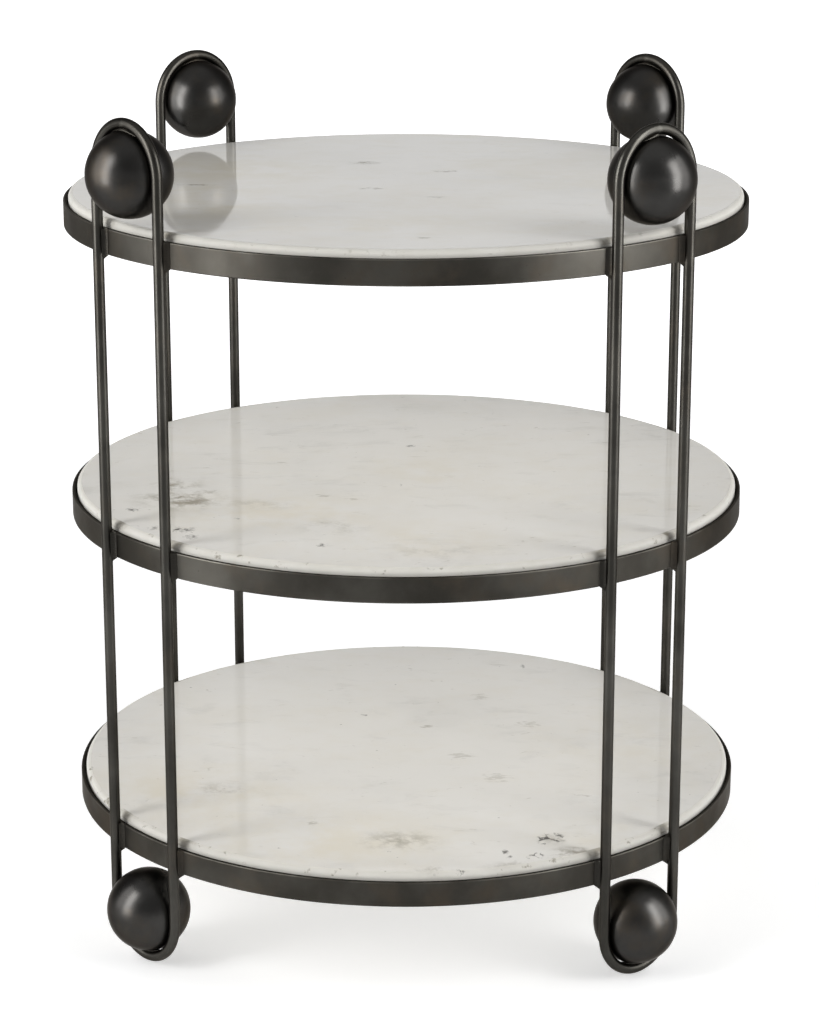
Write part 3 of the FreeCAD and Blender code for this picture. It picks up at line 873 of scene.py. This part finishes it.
def make_world(stage):
    """White backdrop for the camera. Gloss and glass show a greyer room, and matt surfaces get its light."""
    world = bpy.data.worlds.new("studio")
    graph = Graph(world)
    way = graph.add("ShaderNodeTexCoord").outputs["Generated"]
    ahead = (-math.sin(stage.camera_turn), math.cos(stage.camera_turn), 0)
    facing = graph.add("ShaderNodeVectorMath", {0: way, 1: ahead}, operation="DOT_PRODUCT").outputs["Value"]
    rise = graph.add("ShaderNodeSeparateXYZ", {0: way}).outputs["Z"]
    walls = graph.band(facing, *VIEW_BANDS["front"], stage.room_front, stage.room_side)
    corners = graph.band(facing, *VIEW_BANDS["corner"], 0, stage.room_side - stage.room_corner)
    backdrop = graph.band(facing, *VIEW_BANDS["backdrop"], 0, stage.room_back - stage.room_corner)
    walls = graph.math("ADD", graph.math("SUBTRACT", walls, corners), backdrop)
    upper = graph.band(rise, *RISE_BANDS["upper"], 1, stage.room_upper)
    ceiling = graph.band(rise, *RISE_BANDS["ceiling"], 0, stage.room_ceiling)
    shown = graph.math("MAXIMUM", graph.times(walls, upper), ceiling)
    dusk = graph.band(facing, *VIEW_BANDS["dusk"], stage.room_dusk, stage.room_light)
    glow = graph.band(facing, *VIEW_BANDS["glow"], 0, stage.room_glow - stage.room_light)
    overhead = graph.band(rise, *RISE_BANDS["zenith"], 1, stage.room_zenith)
    shed = graph.times(graph.math("ADD", dusk, glow), overhead)
    camera, mirrored = looked_at(graph)
    level = graph.add("ShaderNodeMix", {0: mirrored, 2: shed, 3: shown}).outputs[0]
    strength = graph.math("MAXIMUM", level, camera)
    background = graph.add("ShaderNodeBackground", {"Color": (1, 1, 1, 1), "Strength": strength}).outputs[0]
    graph.add("ShaderNodeOutputWorld", {"Surface": background})
    bpy.context.scene.world = world


def stand(stage, bearing, distance, height):
    """A place by its bearing from the camera, seen from the table with left negative, and its height."""
    turn = stage.camera_turn + bearing
    return Vector((distance * math.sin(turn), -distance * math.cos(turn), height))


def metalwork():
    """The metal pieces, which alone mirror the soft panels. In polished stone the panels would glare."""
    group = bpy.data.collections.get("metalwork") or bpy.data.collections.new("metalwork")
    for piece in bpy.context.scene.objects:
        names = [slot.name for slot in piece.material_slots]
        if any(name.endswith("_metal") for name in names) and piece.name not in group.objects:
            group.objects.link(piece)
    return group


def make_lamp(name, stage, bearing, height, wide, tall, radiance, glossy):
    """Soft panel facing the middle of the table. It shows in the gloss of metal, or lights matt surfaces."""
    lamp = bpy.data.lights.new(name, "AREA")
    lamp.shape = "RECTANGLE"
    lamp.size, lamp.size_y = wide, tall
    lamp.energy = 4 * radiance * wide * tall
    holder = bpy.data.objects.new(name, lamp)
    holder.location = stand(stage, bearing, stage.lamp_distance, height)
    middle = Vector((0, 0, CAD_BOX[1].z / 2))
    holder.rotation_euler = (middle - holder.location).to_track_quat("-Z", "Y").to_euler()
    holder.visible_glossy = glossy
    holder.visible_diffuse = not glossy
    if glossy:
        holder.light_linking.receiver_collection = metalwork()
    bpy.context.scene.collection.objects.link(holder)


def make_camera(stage):
    """Camera at the photograph's place, with its focal length."""
    lens = bpy.data.cameras.new("photo_view")
    lens.sensor_width = SENSOR_WIDTH
    lens.lens = stage.focal_pixels / PHOTO_HEIGHT * SENSOR_WIDTH
    camera = bpy.data.objects.new("photo_view", lens)
    camera.location = stand(stage, 0, stage.camera_distance, stage.camera_height)
    camera.rotation_euler = (math.pi / 2 - stage.camera_pitch, 0, stage.camera_turn - stage.camera_yaw)
    bpy.context.scene.collection.objects.link(camera)
    bpy.context.scene.camera = camera


def make_floor(stage):
    """Flat floor under the table, far wider than the view."""
    ways = ((-1, -1), (1, -1), (1, 1), (-1, 1))
    corners = [(x * FLOOR_HALF, y * FLOOR_HALF, -FLOOR_DROP) for x, y in ways]
    mesh = bpy.data.meshes.new("studio_floor")
    mesh.from_pydata(corners, [], [(0, 1, 2, 3)])
    mesh.materials.append(floor_material(stage))
    floor = bpy.data.objects.new("studio_floor", mesh)
    bpy.context.scene.collection.objects.link(floor)


def bar_material(kind, finish):
    """Metal of the rings, studs and tabs."""
    return metal_material(kind, finish.metal_dark, finish.metal_light, finish.metal_brown)


class SIDE_TABLE_OT_rings(bpy.types.Operator):
    """Make the flat-bar rings"""

    bl_idname = "side_table.rings"
    bl_label = "Rings"

    def execute(self, context):
        scene = context.scene
        material = bar_material("band", scene.side_table_finish)
        for tier in TIERS:
            make_ring(tier, scene.side_table_sizes, material)
        return {"FINISHED"}


class SIDE_TABLE_OT_slabs(bpy.types.Operator):
    """Make the marble slabs"""

    bl_idname = "side_table.slabs"
    bl_label = "Slabs"

    def execute(self, context):
        scene = context.scene
        for tier in TIERS:
            make_slab(tier, scene.side_table_sizes, marble_material(tier, scene.side_table_finish))
        return {"FINISHED"}


class SIDE_TABLE_OT_loops(bpy.types.Operator):
    """Make the tall rod loops"""

    bl_idname = "side_table.loops"
    bl_label = "Loops"

    def execute(self, context):
        scene = context.scene
        finish = scene.side_table_finish
        material = metal_material("rod", finish.rod_dark, finish.rod_light, finish.rod_brown)
        for side in SIDES:
            make_loop(side, scene.side_table_sizes, material)
        return {"FINISHED"}


class SIDE_TABLE_OT_balls(bpy.types.Operator):
    """Make the balls and the studs that hold them"""

    bl_idname = "side_table.balls"
    bl_label = "Balls"

    def execute(self, context):
        scene = context.scene
        finish = scene.side_table_finish
        tones = finish.globe_dark, finish.globe_light, finish.metal_brown
        material = metal_material("globe", *tones, grain=GLOBE_GRAIN)
        stud = bar_material("stud", finish)
        for level in LEVELS:
            for side in SIDES:
                make_ball(side, level, scene.side_table_sizes, material)
            make_studs(level, scene.side_table_sizes, stud)
        return {"FINISHED"}


class SIDE_TABLE_OT_welds(bpy.types.Operator):
    """Make the weld beads between rings and loops"""

    bl_idname = "side_table.welds"
    bl_label = "Welds"

    def execute(self, context):
        scene = context.scene
        finish = scene.side_table_finish
        material = metal_material("bead", finish.weld_dark, finish.metal_dark, finish.metal_brown)
        for tier in TIERS:
            make_welds(tier, scene.side_table_sizes, material)
        return {"FINISHED"}


class SIDE_TABLE_OT_fittings(bpy.types.Operator):
    """Finish the tabs and pads under the slabs, whose shapes stay as they are"""

    bl_idname = "side_table.fittings"
    bl_label = "Tabs and pads"

    def execute(self, context):
        finish = context.scene.side_table_finish
        materials = {"shelf_tabs": bar_material("tab", finish), "shelf_pads": pad_material(finish)}
        for tier in TIERS:
            for kind, material in materials.items():
                node = frame["nodes"][f"{tier}_{kind}"]
                node.data.materials.clear()
                node.data.materials.append(material)
        return {"FINISHED"}


class SIDE_TABLE_OT_stage(bpy.types.Operator):
    """Set up the floor, the light and the camera"""

    bl_idname = "side_table.stage"
    bl_label = "Studio"

    def execute(self, context):
        stage = context.scene.side_table_stage
        context.scene.view_settings.view_transform = "Standard"
        make_floor(stage)
        make_world(stage)
        panel = stage.lamp_height, stage.lamp_width, stage.lamp_tall
        fill = stage.fill_height, stage.lamp_width, stage.fill_tall
        wing = stage.lamp_height, stage.wing_width, stage.lamp_tall
        make_lamp("left_panel", stage, -stage.left_lamp_turn, *panel, stage.left_radiance, glossy=True)
        make_lamp("right_panel", stage, stage.right_lamp_turn, *panel, stage.right_radiance, glossy=True)
        make_lamp("left_wing", stage, -stage.wing_turn, *wing, stage.wing_radiance, glossy=True)
        make_lamp("right_wing", stage, stage.wing_turn, *wing, stage.wing_radiance, glossy=True)
        make_lamp("left_fill", stage, -stage.left_lamp_turn, *fill, stage.left_fill, glossy=False)
        make_lamp("right_fill", stage, stage.right_lamp_turn, *fill, stage.right_fill, glossy=False)
        make_camera(stage)
        return {"FINISHED"}


OPERATORS = (SIDE_TABLE_OT_rings, SIDE_TABLE_OT_slabs, SIDE_TABLE_OT_loops, SIDE_TABLE_OT_balls,
             SIDE_TABLE_OT_welds, SIDE_TABLE_OT_fittings, SIDE_TABLE_OT_stage)
GROUPS = {
    "side_table_sizes": SideTableSizes,
    "side_table_finish": SideTableFinish,
    "side_table_stage": SideTableStage,
}


class SIDE_TABLE_PT_panel(bpy.types.Panel):
    """Lists the table's pieces and their properties"""

    bl_idname = "SIDE_TABLE_PT_panel"
    bl_label = "Side table"
    bl_space_type = "VIEW_3D"
    bl_region_type = "UI"
    bl_category = "Side table"

    def draw(self, context):
        for operator in OPERATORS:
            self.layout.operator(operator.bl_idname)
        for group_name, group in GROUPS.items():
            box = self.layout.box()
            for name in group.__annotations__:
                box.prop(getattr(context.scene, group_name), name)


def register():
    for item in (*GROUPS.values(), *OPERATORS, SIDE_TABLE_PT_panel):
        bpy.utils.register_class(item)
    for name, group in GROUPS.items():
        setattr(bpy.types.Scene, name, bpy.props.PointerProperty(type=group))


def unregister():
    for name in GROUPS:
        delattr(bpy.types.Scene, name)
    for item in (SIDE_TABLE_PT_panel, *reversed(OPERATORS), *GROUPS.values()):
        bpy.utils.unregister_class(item)


def main():
    register()
    bpy.ops.side_table.rings()
    bpy.ops.side_table.slabs()
    bpy.ops.side_table.loops()
    bpy.ops.side_table.balls()
    bpy.ops.side_table.welds()
    bpy.ops.side_table.fittings()
    bpy.ops.side_table.stage()


if __name__ == "__main__":
    main()
